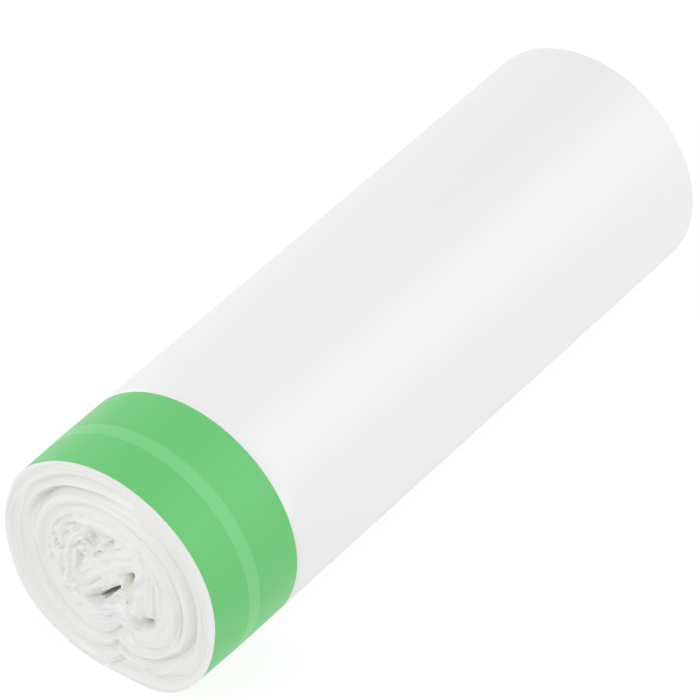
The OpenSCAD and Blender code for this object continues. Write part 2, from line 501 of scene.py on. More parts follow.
@dataclass
class WoundStrip:
    """The folded bags, wound up as one continuous strip from the outer end to the heart."""

    shape: RollShape
    measured: float = 0.986
    tail_angle: float = -115.0
    tail_thickness: float = 0.05
    tail_lead: float = 40.0
    tail_settled: float = 10.0
    tail_groove: float = 0.2
    air: float = -0.02
    crown_reach: float = 2.1
    rim_reach: float = 1.8
    rim_round: float = 0.25
    # The lie grows from this share at the rim to all of it over the dip's width, on the turns
    # that nothing covers yet
    rim_level: float = 0.1
    rim_dip: float = 2.8
    cover_from: float = 340.0
    cover_over: float = 120.0
    mouth_points: int = 27
    far_points: int = 7
    grain_depth: float = 0.2
    # Noises of the grain: [cell across in mm, cell along in mm, offset, weight, seed]
    grains: tuple[tuple[float, float, float, float, int], ...] = (
        (0.45, 9, 7, 1, 3), (0.95, 12, 3, 1.5, 5),
    )
    # Share of the grain that the heart's tighter folds lose
    heart_calm: float = 0.4
    sway_depth: float = 0.25
    sway_from: float = 200.0
    sway_over: float = 300.0
    sway_mm: float = 13.0
    sway_seed: int = 8
    # Distance from a wall over which the grain and the crown fade
    fade: float = 0.8
    band_from: float = 0.6
    band_to: float = 33.6
    band_t: float = 0.1
    # Wall between one turn and the next: [direction, distance from the axis, groove depth],
    # turn by turn from the outer end
    first_wall: Rows = (
        (-93, 30.9, 0.2), (-86, 28.1, 0.6), (-81.3, 26.6, 0.9), (-73, 27.6, 0.9),
        (-66.4, 30, 0.8), (-55.3, 31.6, 0.7), (-47, 32.3, 0.6), (-27, 32.5, 0.5),
        (0, 31.3, 0.6), (45, 31.3, 0.8), (90, 30.8, 0.9), (135, 30, 0.6), (165, 29, 0.4),
        (210, 28, 0.25), (235, 27.6, 0.2),
    )
    second_wall: Rows = (
        (-115, 27.3, 0.3), (-103, 26.4, 0.6), (-94.6, 25.1, 0.9), (-85, 22.6, 1.3),
        (-81.5, 20.5, 1.5), (-77, 22.3, 1.3), (-66.3, 24.9, 1.1), (-54.5, 25.8, 1.2),
        (-40.4, 26.3, 1.4), (-23, 28.2, 1.4), (0, 28.2, 1.1), (45, 27.8, 1.1), (90, 27.1, 1.3),
        (120, 27.4, 1.5), (132, 26.9, 1.5), (144.5, 25.9, 1.3), (159, 25, 1.1),
        (173, 23.8, 1), (182.5, 22.9, 0.9), (195.6, 22.4, 0.8), (219.5, 22, 0.7),
        (235, 21.8, 0.6),
    )
    third_wall: Rows = (
        (-115, 21.7, 0.6), (-103.5, 21.4, 0.7), (-97, 20.5, 0.9), (-90, 19.3, 1),
        (-83.3, 17.2, 1.1), (-72.8, 15.3, 1), (-68.2, 16.2, 0.9), (-60, 19.6, 0.8),
        (-53.4, 21.5, 1), (-37.3, 23.7, 1), (-28.1, 24.4, 1), (0, 23.2, 0.7),
        (45, 22.5, 0.5), (90, 21.7, 0.8), (115, 21.7, 0.7), (135, 21.3, 0.4), (165, 20.2, 0.2),
        (200, 19, 0.2), (230, 18, 0.2),
    )
    fourth_wall: Rows = (
        (-115, 17.3, 0.12), (-105, 16.6, 0.12), (-97, 15.6, 0.12), (-90, 14.3, 0.12),
        (-83, 12.9, 0.12), (-76, 12.1, 0.12), (-70, 12.2, 0.12), (-62, 13.6, 0.12),
        (-52, 15.8, 0.12), (-40, 17.8, 0.12), (-25, 18.8, 0.12), (0, 18.4, 0.15),
        (25, 18, 0.15), (45, 17.8, 0.2), (56, 17.7, 0.4), (64, 17.1, 0.5), (72, 15.65, 0.5),
        (79, 14.2, 0.5), (85, 14.05, 0.5), (97, 14.15, 0.5), (109, 14.8, 0.5),
        (124, 16.5, 0.5), (138, 16.45, 0.4), (158, 14.8, 0.35), (174, 14.17, 0.35),
        (188, 14.23, 0.35), (201, 14.56, 0.4), (213, 14.9, 0.4), (221, 14.6, 0.4),
        (227, 13.6, 0.3), (231, 12.6, 0.3), (236, 12.1, 0.3),
    )
    # Where the lining begins, and its inner wall under the heart: [direction, right, up]
    lining_from: float = 1431.0
    lining_groove: float = 0.3
    last_wound: float = 1603.0
    lining: Rows = (
        (-124, -6.75, -10.3), (-118, -6.3, -9.8), (-112, -5.6, -9.4), (-106, -4.4, -8.8),
        (-99, -1.9, -8), (-93, 0.4, -6.2), (-88, 2.4, -3.5), (-83, 4.7, -0.9),
        (-78, 6.4, -0.9), (-71, 7.6, -3.2), (-63, 8.9, -6), (-55, 11.2, -7.4),
        (-46, 13.8, -6.8), (-34, 15, -6), (-20, 14.9, -4.4), (0, 14.5, 0),
        (16, 14.4, 4.1), (25, 14, 6.1), (36, 12.8, 9.3), (48, 11.6, 11.6),
    )
    # The heart's fold: [outer right, outer up, inner right, inner up, groove depths there]
    fold: Rows = (
        (9.9, 14.6, 11, 11.6, 0.5, 0.2), (7.5, 15.3, 9, 11, 0.6, 0.15),
        (4.8, 14.8, 6.5, 9.7, 0.6, 0.15), (2.6, 13.4, 3.6, 8.2, 0.4, 0.2),
        (0.6, 11, 0.8, 6.7, 0.4, 0.3), (-1.4, 8.6, -1.8, 5.4, 0.35, 0.4),
        (-3.2, 6.5, -4.2, 4.4, 0.4, 0.5), (-3.9, 6.3, -6, 4, 0.3, 0.5),
        (-3.9, 6.9, -7.7, 4.6, 0.2, 0.3), (-2.3, 8.7, -8.3, 6.2, 0.2, 0.3),
        (-0.3, 11.5, -8.5, 7.6, 0.2, 0.3), (1.3, 13.8, -8.65, 8.3, 0.2, 0.3),
        (-4.8, 14, -8.75, 8.5, 0.3, 0.3), (-9.2, 13.6, -8.85, 8.2, 0.3, 0.3),
        (-12.1, 11, -8.9, 7.2, 0.3, 0.3), (-13.6, 5.6, -9.3, 5, 0.4, 0.4),
        (-14, 1.5, -9.9, 1.6, 0.4, 0.6), (-14, -2, -10.35, -1.8, 0.4, 0.5),
        (-13.5, -5.2, -10.4, -4.6, 0.6, 0.2), (-12.4, -8.1, -10.3, -6.4, 0.6, 0.2),
        (-10.9, -9.6, -10.2, -7, 0.5, 0.1), (-9.2, -9.8, -10.1, -7, 0.5, 0.1),
        (-7.4, -9.6, -10.2, -5.8, 0.5, 0.2), (-5.2, -8.5, -10, -3.4, 0.5, 0.3),
        (-3.4, -7, -9.5, -0.8, 0.5, 0.4), (-1.7, -5.5, -8.7, 1.9, 0.4, 0.4),
        (0.5, -3.5, -7.2, 3.9, 0.4, 0.4), (2.7, -1.4, -3.2, 4.8, 0.4, 0.4),
        (4.5, 0.1, 0.6, 6.4, 0.3, 0.2), (6.2, 2.2, 4, 8.1, 0.4, 0.1),
        (7.6, 5.2, 7, 9.7, 0.7, 0.1), (8.4, 6.6, 9.4, 10.8, 0.6, 0.1),
        (8.95, 6.6, 11, 11, 0.6, 0.15), (9.2, 5.4, 12.4, 9.3, 0.6, 0.25),
        (8.7, 3.6, 13.7, 6.1, 0.4, 0.25), (7.4, 2.2, 14.2, 3.2, 0.2, 0.25),
        (6.8, 0, 14.35, -0.6, 0.15, 0.25), (7.6, -2.4, 14.6, -3.8, 0.15, 0.4),
        (8.6, -4.4, 13.9, -5.5, 0.15, 0.5), (8.8, -4.8, 11.6, -6.6, 0.1, 0.4),
        (8.3, -4.7, 9.4, -6.45, 0.1, 0.3), (7.5, -3, 7.5, -4.8, 0.1, 0.3),
        (6.75, -0.7, 6.3, -2.3, 0.1, 0.3), (6.3, 1, 5.5, -0.2, 0.1, 0.3),
        (5.8, 2, 5.1, 1.1, 0.1, 0.2),
    )
    # Lie of the heart behind the mouth: [right, up, depth]
    spots: Rows = (
        (-10.5, -8.3, 0.8), (-12.4, -3, 0.5), (-12.3, 3, 0.4), (-11.3, 7.5, 0.4), (-8.7, 11, 0.4),
        (-6, 9.6, 0.6), (-5.2, 6.6, 0.8), (-6, 4.6, 1), (-11.2, 12.9, 1.5), (-7.5, 13.9, 1.2),
        (-4, 12.3, 1.9), (-2, 11, 1.9), (-1, 13.6, 1.7), (-3, 9.2, 1.7), (0.2, 13.2, 2),
        (-11, 15.4, 0.3), (-5, 16, 0.2), (0, 15.4, 0.3), (5, 16.2, 0.1), (-10, 18, 0.7),
        (0, 18.6, 0.8), (10, 17.8, 0.7), (14, 12, 0.5), (-2.5, 6.2, 1), (0, 8.6, 0.6),
        (3, 11, 0.3), (6, 13.2, 0.2), (9, 13.4, 0.2), (-9, -7.2, 0.9), (-7, -3, 0.4),
        (-4, -1, 0.2), (-1, 2, 0), (3, 5, 0), (7, 8.3, 0), (-5, -6.8, 0.7), (0, -2.2, 0.5),
        (4.5, 1.8, 0.5), (10.6, 5, 0.1), (10.5, 0, 0.2), (10.5, -5, 0.5), (12.5, 5, 0.5),
        (12.5, 0, 0.6), (13.5, -4, 0.8), (10.8, 8.6, 0.2), (8.5, 2.4, 2.2), (8.3, 0, 1.9),
        (8.5, -2.4, 1.5), (7.8, -1.4, 1.7), (5.4, 0, 0.6), (6.6, -2.6, 0.3), (8.6, -5.6, 0.5),
        (-4, -12.4, 0.6), (-1.6, -10.2, 0), (2, -8.4, -0.2), (5, -8.9, -0.1), (8, -11.4, 0.4),
        (11, -13.8, 0.7), (0, -7.2, 1), (2, -5, 1.6), (4.4, -2.2, 1.8), (5, -5, 1), (7, -6.8, 0.9),
        (9, -8.4, 1.2), (-5, -9.4, 2), (-3.2, -8, 2.2), (-1, -6.9, 2.2), (14.3, -7, 3),
        (12.3, -8.6, 2.2), (11, -10.2, 1.6), (13.8, -10.2, 0.8), (15.9, -8.4, 0.5),
        (16.5, -5, 0.4), (17, 0, 0.5), (16.5, 7, 0.5), (-15.8, -1, 0.7), (-16, 6, 0.7),
        (-16.5, 12, 0.7), (-15, -8, 0.6), (-11.5, -11.6, 1.1), (-8, -12.8, 0.7), (-13.9, -5, 1.5),
        (0, -12.4, 0.6), (4, -12.4, 0.5), (-5, -16, 0.5), (10, -15.8, 0.6),
    )
    ring_depth: float = 1.0
    heart_r: float = 16.5
    heart_fade: float = 4.0
    heart_depth: float = 0.55
    lie_steps: int = 8
    # Small folds and pockets of the heart as strokes: [half width, depth, and right and up of
    # each point on the way], where a depth below 0 is a ridge
    strokes: Rows = (
        # Hook: its outer ridge, the groove outside it, the curl at its top and its pockets
        (0.7, -1, -12.5, -3.8, -12.7, 3.2, -11, 8.6), (0.7, -0.9, -11, 8.6, -8.2, 12.2),
        (0.7, -0.8, -8.2, 12.2, -5.2, 11.2), (0.7, -0.7, -5.2, 11.2, -3.9, 7.6),
        (0.7, -1, -12.5, -3.8, -10.4, -8.2), (0.6, -0.7, -10.4, -8.2, -9.6, -6),
        (0.5, 0.5, -14.3, -2, -14.3, 3.4, -12.6, 8.8, -10.8, 11.4),
        (0.5, 0.35, -11.2, -6, -11.4, 0, -10.6, 5), (0.4, -0.5, -9.6, 7.6, -8.6, 9.2, -6.9, 8.8),
        (0.4, -0.4, -6.9, 8.8, -6.6, 6.8), (0.6, 1.3, -8.2, 7.7, -7.6, 7.4),
        (0.5, 1, -10.1, 6, -9.3, 6.7), (0.4, 0.8, -6.9, 5.6, -6.2, 6.4),
        (0.7, 0.9, -9, 4.4, -8.3, 2.6), (0.8, 1.1, -8.3, 2.6, -8, 1.6),
        (0.7, 0.9, -8.2, 1.8, -9.2, -0.5), (0.6, 0.7, -9.2, -0.5, -9.8, -3),
        (0.6, 0.8, -8.6, 3.8, -6.2, 3.6), (0.4, 0.5, -10.3, -5.2, -10.4, -6.6),
        # Dashes and dents left of the hook
        (0.4, 1, -16.4, 4, -15.6, 5.8), (0.4, 1, -15.9, 3, -15, 4.2),
        (0.4, 1, -14.9, 2.2, -14.2, 3), (0.4, 0.7, -18.7, 0.7, -18.3, 1.6),
        (0.4, 0.7, -17.8, -2.2, -17.3, -0.6), (0.35, 0.6, -17.2, 5.8, -16.4, 7),
        (0.35, 0.5, -14, 6.2, -13.6, 8), (0.35, 0.5, -13.5, 8.2, -12.7, 9),
        (0.5, 0.9, -13.9, -5.8, -13.7, -4), (0.7, 1.1, -12.3, -9.5, -9.8, -10.3),
        (0.4, 0.5, -15.5, 10.5, -10.8, 15.8), (0.35, 0.4, -17, 8.5, -14.6, 13),
        (0.5, 0.6, -9.4, -14, -8.4, -13.2), (0.4, 0.6, 0.6, -12.2, 1.2, -11.4),
        # Recess above the hook, and the short slit right of it
        (0.9, 1.1, -11.3, 12.2, -8, 13.9), (1.1, 0.8, -3.4, 12.2, -2.4, 10.8),
        (0.8, 0.9, -4.5, 13.4, -0.5, 13.4), (0.5, -0.7, -5.4, 15.6, -10.6, 15),
        (0.8, 0.9, 0, 10.6, 1.4, 12.4), (0.6, 0.7, 1.4, 12.4, 3, 14.2),
        (0.5, 0.4, -0.5, 10.2, -1.4, 9.2), (0.6, 0.9, -3.4, 5.8, -2.4, 6.9),
        (0.35, 0.8, -2.4, 7.9, -1.2, 8.3),
        # Layers of the upper and lower bundle
        (0.35, 0.4, -0.8, 8.6, 6.4, 13.6), (0.35, -0.4, 0.4, 7.6, 8.6, 12.4),
        (0.35, 0.4, 1, 6.2, 8.8, 10.4), (0.35, -0.4, 2, 5.4, 7.4, 8.4),
        (0.35, 0.7, 2.4, 10.6, 4.4, 12), (0.6, -0.5, -3, 2.2, 1.6, 4.2),
        (0.5, -0.6, 5.2, 15.1, 9.8, 15.1), (0.5, 0.4, 6, 13.4, 8.8, 12.6),
        (0.4, 1, -0.9, 5.1, 0.8, 5.7), (0.4, -0.4, -8.6, -5.4, -1, 1.8),
        (0.35, 0.4, -8, -6.8, 1, 0.6), (0.4, -0.4, -7, -7.6, 2.6, 0),
        (0.35, 0.35, -8.9, -3.4, -3.4, 2), (0.35, 0.7, -4, -3, -1.8, -0.6),
        (0.3, 0.6, -2.2, -2.8, -0.9, -1.6), (0.35, 0.6, 0.1, -1.9, 1, -0.6),
        (0.3, 0.4, -6.5, -1.8, -4.5, 0.6), (0.4, 0.5, -5.4, -5.2, -4.6, -3.6),
        # Pocket under the apex, and the fold that runs down from it
        (0.7, 1.8, 7.9, 5.2, 8.3, 5.4), (0.7, 0.9, 5, 3.4, 7.9, 5.3), (0.7, 1.1, 8.2, 5.4, 8, 3),
        (0.8, 0.8, 6.6, 3.4, 7.6, 4.2), (0.6, -0.9, 5.2, 0.4, 7.2, -3.3, 9.2, -5.9),
        (0.7, -1.1, 9, -5.9, 11.4, -6.6), (0.7, -1, 11.4, -6.6, 14.4, -5.4),
        (0.6, -1, 9.7, 5, 9.7, -4), (0.4, 0.3, 11.7, 4.5, 11.7, -4),
        (0.35, -0.3, 12.9, 4, 12.9, -4), (0.45, -0.6, 14.3, 5, 14.4, -4.5),
        (0.35, 0.4, 15.4, 6, 15.5, -4), (0.4, -0.4, 16.6, 7, 16.6, -4),
        (0.4, 0.35, 17.7, 6, 17.7, -5), (0.45, -0.6, 10.2, 14.6, 11.9, 10.5),
        (0.45, -0.5, 11.9, 10.5, 14.3, 5), (0.5, 0.6, 12, 7.6, 12.3, 5.4),
        (0.5, 0.6, 13.9, 7.8, 13.7, 5.9),
        # Pocket at the lower right
        (0.9, 1.2, 13.3, -7.4, 14, -7.4), (0.9, 0.8, 10.8, -8.2, 13.6, -7.6),
        (0.9, 1.1, 14.2, -7.3, 11, -10.8), (1.1, 0.9, 12.4, -8, 12.2, -9),
        # Valley that leads into the slit, and the hump under it
        (1.2, 1.5, -5.2, -9.7, -1.8, -7.2), (0.9, -1.1, -3.4, -11.4, -0.2, -8.4, 2.4, -7.4),
        (0.9, -1, 2.4, -7.4, 5.2, -7.8), (0.9, -0.9, 5.2, -7.8, 7.8, -9.7),
        (0.9, -0.7, 7.8, -9.7, 10.6, -11.8),
        (0.5, 0.3, -5.5, -13.4, -2.4, -11.4, 1.4, -10.2, 5.2, -10.6, 8.4, -13.4),
        (0.4, -0.4, -6.6, -15, -3.2, -13, 1, -12), (0.8, 0.6, 4, -14.6, 5.8, -15.2),
        (0.7, 0.4, 6.8, -14.9, 8.2, -14.8), (0.5, 0.4, -7.4, 17, 3.6, 18.6),
    )
    # Soft ridges and grooves of the turns: [from direction, to direction, distance from the
    # axis, half width, depth]
    arcs: Rows = (
        (55, 155, 24.9, 1.3, -0.88), (80, 190, 32.6, 0.5, 0.32), (-62, -12, 24.4, 0.9, -0.72),
        (-75, -30, 29.3, 0.6, -0.48), (150, 250, 31.6, 0.9, -0.3), (125, 245, 26.9, 1.3, 1),
        (130, 240, 24, 1.2, -0.8), (150, 250, 20.8, 1, 0.7), (-150, -100, 19.4, 0.7, -0.56),
        (95, 150, 19, 0.9, 0.56), (205, 255, 31.4, 0.9, 0.2), (-80, -40, 19, 0.6, -0.48),
        (-35, 75, 28.4, 0.8, 0.7), (-35, 75, 26.1, 1.1, -0.7), (-40, 80, 23.2, 0.8, 0.6),
        (60, 150, 30.4, 0.7, 0.5), (60, 150, 28.6, 0.8, -0.4), (60, 160, 26.8, 0.8, 0.5),
        (-10, 70, 20.2, 0.8, 0.35), (-130, -50, 28.6, 1, 0.35),
    )
    # A point behind the mouth is seen this much further right and up for each mm of depth
    seen_shift: tuple[float, float] = (0.73, 1.03)
    # Share of a stroke's own depth that shifts it, and degrees over which an arc's ends fade
    own_share: float = 0.8
    arc_fade: float = 20.0
    # The open slit of the heart: [from right, up, to right, up], its half width and its reach
    slit: tuple[float, float, float, float] = (-1.0, -5.8, 3.8, -1.3)
    slit_half: float = 1.2
    slit_reach: float = 1.2
    # The heart's folds reach this far into each other at the mouth, so that no gap shows
    overlap: float = 0.95
    # Winding angle from which walls read as seen are moved back, and over how many degrees
    shift_from: float = 60.0
    shift_over: float = 60.0
    # The painted shade in the folds is full at this depth, to which all but the crown counts by a
    # share
    shade_depth: float = 3.0
    lie_shade: float = 0.6
    # Behind the mouth the heart's folds swell by this much, over this depth
    swell: float = 0.55
    swell_depth: float = 3.0
    # Step from section to section: [winding angle, millimetres]
    steps: Rows = (
        (0, 1), (1000, 0.9), (1100, 0.6), (1440, 0.5), (1500, 0.35), (1603, 0.3),
    )
    sample_step: float = 0.25
    fold_samples: int = 900
    fold_slack: float = 0.35
    # The far end: its inset at the inner wall, the rounding of its edges on the first turn and
    # on the others, and how far the heart sinks in
    far_inset: float = 1.6
    far_round: tuple[float, float] = (0.35, 1.2)
    far_sink: float = 1.4
    sink_from: float = 300.0
    sink_over: float = 1200.0
    # Points along the inner wall as shares of its length, and least step along the outer wall
    inner_run: tuple[float, ...] = (0.004, 0.03, 0.12, 0.5, 0.88, 0.97, 0.996)
    least_step: float = 0.05

    def wall(self) -> tuple[np.ndarray, np.ndarray, np.ndarray]:
        """Winding angle, radius and groove depth of every knot of the wall between turns.

        Returns:
            Winding angles in degrees from the outer end, distances from the axis and groove
            depths, in one row from the outer end to the heart.
        """
        turns = (self.first_wall, self.second_wall, self.third_wall, self.fourth_wall)
        rows = np.vstack([
            np.array(turn) + np.array([TURN * k - self.tail_angle, 0.0, 0.0])
            for k, turn in enumerate(turns)
        ])
        return rows[:, 0], rows[:, 1] * self.measured, rows[:, 2]

    def lead_in(self, wound: np.ndarray) -> np.ndarray:
        """Rise from 0 to 1 over the last degrees before the winding angle reaches 0."""
        return ease(wound / self.tail_lead + 1.0)

    def wall_at(self, wound: np.ndarray) -> tuple[np.ndarray, np.ndarray]:
        """Radius and groove depth of the wall at some winding angles.

        Before the first knot the wall lies just under the outline, at the outer end's
        thickness.

        Args:
            wound: Winding angles in degrees.

        Returns:
            Distances from the axis and groove depths.
        """
        at, radius, groove = self.wall()
        thin = self.shape.tucked(wound + self.tail_angle, 0.0)
        thin = thin - self.tail_thickness * self.lead_in(wound)
        start = np.array([0.0, self.tail_settled])
        begin = self.shape.tucked(start + self.tail_angle, 0.0) - self.tail_thickness
        at = np.concatenate([start, at])
        radius = np.concatenate([begin, radius])
        groove = np.concatenate([np.full(2, self.tail_groove), groove])
        found = curve_through(at, np.stack([radius, groove], axis=1), wound)
        return np.where(wound < self.tail_settled, thin, found[:, 0]), found[:, 1]

    def polar(self, radius: np.ndarray, angle: np.ndarray) -> np.ndarray:
        """Places on the mouth from distances and directions from the axis."""
        turn = np.radians(angle)
        return np.stack([radius * np.cos(turn), radius * np.sin(turn)], axis=-1)

    def turns(self, wound: np.ndarray) -> np.ndarray:
        """Work out both walls of the wound turns, and of the lining under the heart.

        Args:
            wound: Winding angles in degrees.

        Returns:
            Rows of outer right and up, inner right and up, and outer and inner groove depth.
        """
        angle = wound + self.tail_angle
        inner_r, inner_groove = self.wall_at(np.minimum(wound, self.lining_from))
        over_r, over_groove = self.wall_at(wound - TURN)
        outer = self.polar(over_r - self.air * self.lead_in(wound - TURN), angle)
        inner = self.polar(inner_r, angle)
        lining = np.array(self.lining)
        under = wound >= self.lining_from
        inner[under] = self.measured * curve_through(
            lining[:, 0], lining[:, 1:], angle[under] - 4.0 * TURN
        )
        outer_groove = np.where(wound < TURN, self.rim_round, over_groove)
        inner_groove = np.where(under, self.lining_groove, inner_groove)
        return np.column_stack([outer, inner, outer_groove, inner_groove])

    def folded(self, meeting: np.ndarray) -> np.ndarray:
        """Work out both walls of the heart's fold.

        Args:
            meeting: Last row of the turns, where the fold begins.

        Returns:
            Rows like those of the turns.
        """
        fold = np.array(self.fold)
        fold[:, :4] *= self.measured
        knots = np.vstack([meeting, fold])
        middle = (knots[:, :2] + knots[:, 2:4]) / 2.0
        gaps = np.linalg.norm(np.diff(middle, axis=0), axis=1)
        gaps[1:] += self.fold_slack
        reach = np.concatenate([[0.0], np.cumsum(gaps)])
        return curve_through(reach, knots, np.linspace(0.0, reach[-1], self.fold_samples)[1:])

    def rungs(self) -> Rungs:
        """Work out the strip's two walls along its whole length.

        The strip is sampled finely, and then resampled so that its steps shrink from the
        outer turns to the heart.

        Returns:
            The strip's sections.
        """
        turned = np.arange(0.0, self.last_wound, self.sample_step)
        rows = self.turns(turned)
        rows = np.vstack([rows, self.folded(rows[-1])])
        held = len(rows) - len(turned)
        wound = np.concatenate([turned, np.full(held, self.last_wound)])
        heart = (wound == self.last_wound).astype(float)
        beyond = wound - self.shift_from
        seen_outer = rows[:, :2]
        seen_inner = rows[:, 2:4]
        outer = self.unshifted(seen_outer, rows[:, 4], ease((beyond - TURN) / self.shift_over))
        inner = self.unshifted(seen_inner, rows[:, 5], ease(beyond / self.shift_over))
        across = outer - inner
        across = across / np.linalg.norm(across, axis=1)[:, None]
        outer = outer + (self.overlap * heart * self.closed(seen_outer))[:, None] * across
        inner = inner - (self.overlap * heart * self.closed(seen_inner))[:, None] * across
        pace = np.maximum(
            np.linalg.norm(np.diff(outer, axis=0), axis=1),
            np.linalg.norm(np.diff(inner, axis=0), axis=1),
        )
        length = np.concatenate([[0.0], np.cumsum(pace)])
        step = np.interp(wound, *np.array(self.steps).T)
        weight = np.concatenate([[0.0], np.cumsum(pace / step[1:])])
        picked = np.linspace(0.0, weight[-1], int(weight[-1]))
        angle = np.minimum(wound, turned[-1]) + self.tail_angle
        fine = np.column_stack([outer, inner, rows[:, 4:], wound, angle, heart, length])
        found = np.stack([np.interp(picked, weight, column) for column in fine.T], axis=-1)
        return Rungs(
            found[:, None, :2], found[:, None, 2:4], *(column[:, None] for column in found[:, 4:].T)
        )

    def seen(self, places: np.ndarray, depth: np.ndarray) -> np.ndarray:
        """Where places on the mouth are seen when they lie some depth behind it."""
        return places + depth[..., None] * np.array(self.seen_shift)

    def unshifted(self, seen: np.ndarray, groove: np.ndarray, share: np.ndarray) -> np.ndarray:
        """Move places that were read as seen on the mouth back to where they lie behind it.

        Args:
            seen: Rows of right and up, as seen.
            groove: Groove depth at each place.
            share: Share of the shift that counts at each place.

        Returns:
            The places less the seen shift times their depth.
        """
        return self.seen(seen, -(self.relief(seen) + 0.5 * groove) * share)

    def closed(self, places: np.ndarray) -> np.ndarray:
        """How far places lie from the open slit, from 0 on it to 1 beyond its reach."""
        gap = self.stroke_distance(*np.array(self.slit).reshape(2, 2), places)
        return ease((gap - self.slit_half) / self.slit_reach)

    def stroke_distance(
        self, start: np.ndarray, end: np.ndarray, places: np.ndarray
    ) -> np.ndarray:
        """Distance of places from a straight stroke.

        Args:
            start: Right and up of its start.
            end: Right and up of its end.
            places: Places of shape (..., 2).

        Returns:
            One distance for each place.
        """
        run = end - start
        share = np.clip((places - start) @ run / (run @ run), 0.0, 1.0)
        return np.linalg.norm(places - start - share[..., None] * run, axis=-1)

    def details(self, places: np.ndarray, lie: np.ndarray) -> np.ndarray:
        """Depth that the strokes and arcs add, each fading as a bell from its middle line.

        Args:
            places: Places on the mouth, of shape (..., 2).
            lie: Depth of the places before the details.

        Returns:
            Depths in millimetres, above or below 0.
        """
        seen = self.seen(places, lie)
        depth = np.zeros(lie.shape)
        for half_width, deep, *course in self.strokes:
            # A groove's own depth shifts it too
            own = self.seen(seen, np.array(self.own_share * max(deep, 0.0)))
            knots = np.array(course).reshape(-1, 2)
            for start, end in zip(knots, knots[1:]):
                gap = self.stroke_distance(start, end, own)
                depth += deep * np.exp(-((gap / half_width) ** 2))
        angle = np.degrees(np.arctan2(seen[..., 1], seen[..., 0]))
        radius = np.linalg.norm(seen, axis=-1)
        for start, end, middle, half_width, deep in self.arcs:
            along = (angle - start) % TURN
            ends = ease(along / self.arc_fade) * ease((end - start - along) / self.arc_fade)
            depth += deep * ends * np.exp(-(((radius - middle * self.measured) / half_width) ** 2))
        return depth

    def relief(self, places: np.ndarray) -> np.ndarray:
        """Depth of the folded heart behind the mouth, fading into the turns around it.

        It is the plate through the spots within the heart, and the rings' depth outside it.

        Args:
            places: Places on the mouth, of shape (..., 2).

        Returns:
            Depths in millimetres.
        """
        scaled = np.array(self.spots) * np.array([self.measured, self.measured, 1.0])
        scaled[:, 2] += self.heart_depth
        radius = np.linalg.norm(places, axis=-1)
        share = 1.0 - ease((radius - self.heart_r) / self.heart_fade)
        return self.ring_depth + share * (spot_surface(scaled, places) - self.ring_depth)

    def lie(self, places: np.ndarray) -> np.ndarray:
        """Depth of places behind the mouth, where the relief is given as it is seen.

        A place is seen shifted by its own depth, so its depth is the one at which the relief
        at the shifted place agrees with it. Half steps lead there.

        Args:
            places: Places on the mouth, of shape (..., 2).

        Returns:
            Depths in millimetres.
        """
        depth = self.relief(places)
        for _ in range(self.lie_steps):
            depth = 0.5 * (depth + self.relief(self.seen(places, depth)))
        return depth

    def fall(self, share: np.ndarray) -> np.ndarray:
        """How far a crowned edge has fallen, from 1 at its wall to 0 at its reach.

        It is the square of one less the squared share, which rounds the bottom of the groove.

        Args:
            share: Distance from the wall as a share of the crown's reach.

        Returns:
            Share of the groove's depth.
        """
        s = np.clip(share, 0.0, 1.0)
        return (1.0 - s * s) ** 2

    def mouth_depths(
        self, rung: Rungs, mouth: np.ndarray, from_outer: np.ndarray
    ) -> tuple[np.ndarray, np.ndarray]:
        """Depth of the strip's edge behind the mouth, and the share of shade painted on it.

        The depth is the lie, which is less near the roll's rim, plus at each wall a groove
        depth times the crown's fall, the grain of the film layers, a slow sway along the
        strip, and the details.

        Args:
            rung: Sections of the strip.
            mouth: Places of the edge on the mouth, of shape (sections, points, 2).
            from_outer: Their distances from the outer wall.

        Returns:
            Depths, and shares of the painted shade in the folds, which grow with the depth.
        """
        thick = from_outer[:, -1:]
        from_inner = thick - from_outer
        covered = ease((rung.wound - self.cover_from) / self.cover_over)
        outer_reach = self.rim_reach + (self.crown_reach - self.rim_reach) * covered
        crown = ease(thick / self.fade) * (
            rung.outer_groove * self.fall(from_outer / np.minimum(outer_reach, thick / 2.0))
            + rung.inner_groove * self.fall(from_inner / np.minimum(self.crown_reach, thick / 2.0))
        )
        inside = np.maximum(covered, ease(from_outer / self.rim_dip))
        level = self.rim_level + (1.0 - self.rim_level) * inside
        lie = self.lie(mouth) * level
        along = rung.length + 0.0 * from_outer
        grain = sum(
            weight * value_noise(from_outer / cell + offset, along / run, seed)
            for cell, run, offset, weight, seed in self.grains
        )
        grain = grain * ease(from_outer / self.fade) * ease(from_inner / self.fade)
        grain = grain * self.grain_depth * (1.0 - self.heart_calm * rung.heart)
        sway = value_noise(along / self.sway_mm, 0.0 * along + 0.5, self.sway_seed)
        sway = self.sway_depth * ease((rung.wound - self.sway_from) / self.sway_over) * sway
        depth = lie + crown + grain + sway + self.details(mouth, lie)
        depth = np.maximum(depth, 0.0)
        # Painted shade: deeper grooves and folds get more of the shade colour
        shaded = crown + self.lie_shade * (depth - crown)
        return depth, np.clip(shaded / self.shade_depth, 0.0, 1.0)

